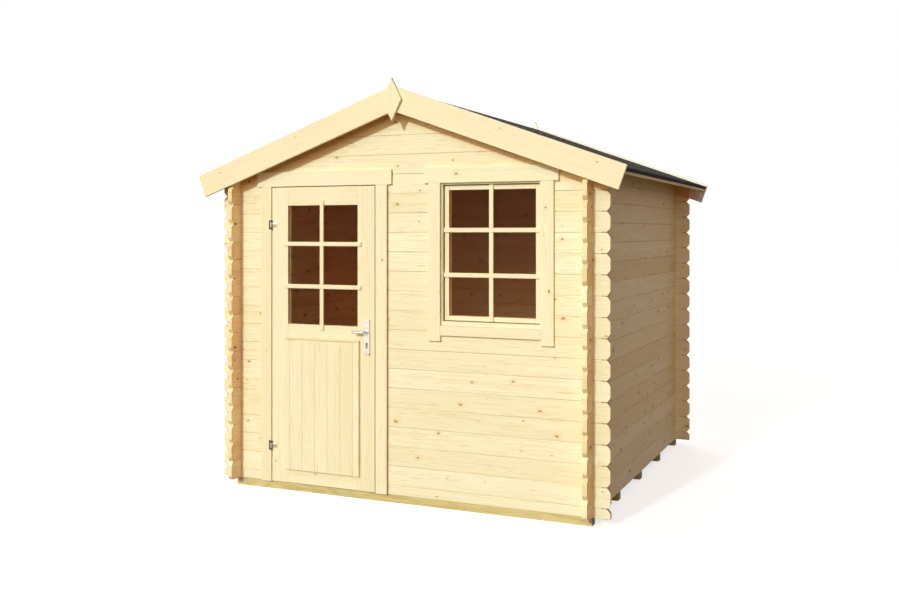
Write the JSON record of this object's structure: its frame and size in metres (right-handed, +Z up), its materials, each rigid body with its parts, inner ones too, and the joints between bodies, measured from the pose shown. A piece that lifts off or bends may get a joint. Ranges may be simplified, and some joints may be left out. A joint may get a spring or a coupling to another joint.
{
  "type": "garden tool shed",
  "caption": "Square log tool shed with a felted pitched roof, bargeboards, diamond finials, a hinged half-glazed door with a lever handle and a fixed window.",
  "frame": {"origin": "on the ground, at the middle of the shed's plan", "axes": "+X along the front wall towards the window, -Y out of the front, +Z up"},
  "size_m": [2.734, 2.5466, 2.4728],
  "materials": {
    "pine": "planed, unpainted",
    "trim": "planed, unpainted",
    "treated": "pressure treated, sawn",
    "felt": "mineral felt",
    "glass": "clear",
    "steel": "satin",
    "brass": "satin"
  },
  "bodies": {
    "shed": {"bearers_treated": "treated", "floor_deck": "pine", "left_wall": "pine", "right_wall": "pine", "back_wall": "pine", "back_gable": "pine", "front_wall_left": "pine", "front_wall_right": "pine", "front_wall_over_door": "pine", "front_gable": "pine", "ridge_purlin": "pine", "side_purlins": "pine", "roof_boards_left": "pine", "roof_boards_right": "pine", "felt_left": "felt", "felt_right": "felt", "felt_ridge": "felt", "eave_batten_left": "trim", "eave_batten_right": "trim", "front_bargeboards": "trim", "back_bargeboards": "trim", "front_finial": "trim", "back_finial": "trim", "door_frame": "trim", "door_threshold": "trim", "door_casings": "trim", "door_head_board": "trim", "window_frame": "trim", "window_sash": "trim", "window_glass": "glass", "window_casings": "trim", "window_head_board": "trim", "window_apron": "trim", "hinge_pins": "steel"},
    "door": {"door_stiles": "trim", "door_rails": "trim", "door_panel": "trim", "door_glass": "glass", "hinge_plates": "steel", "lock_plates": "steel", "lock_cylinder": "brass"},
    "lever": {"lever_outer": "steel", "lever_inner": "steel"}
  },
  "joints": [
    {"name": "door_swing", "type": "hinge", "parent": "shed", "child": "door", "pos_m": [-0.8825, -1.1743, 0.95], "axis": [0, 0, -1], "range_deg": [0, 150]},
    {"name": "lever_turn", "type": "hinge", "parent": "door", "child": "lever", "pos_m": [-0.216, -1.15, 0.995], "axis": [0, -1, 0], "range_deg": [0, 45], "stiffness_Nm_per_rad": 1.5, "springref_deg": -17.19}
  ]
}
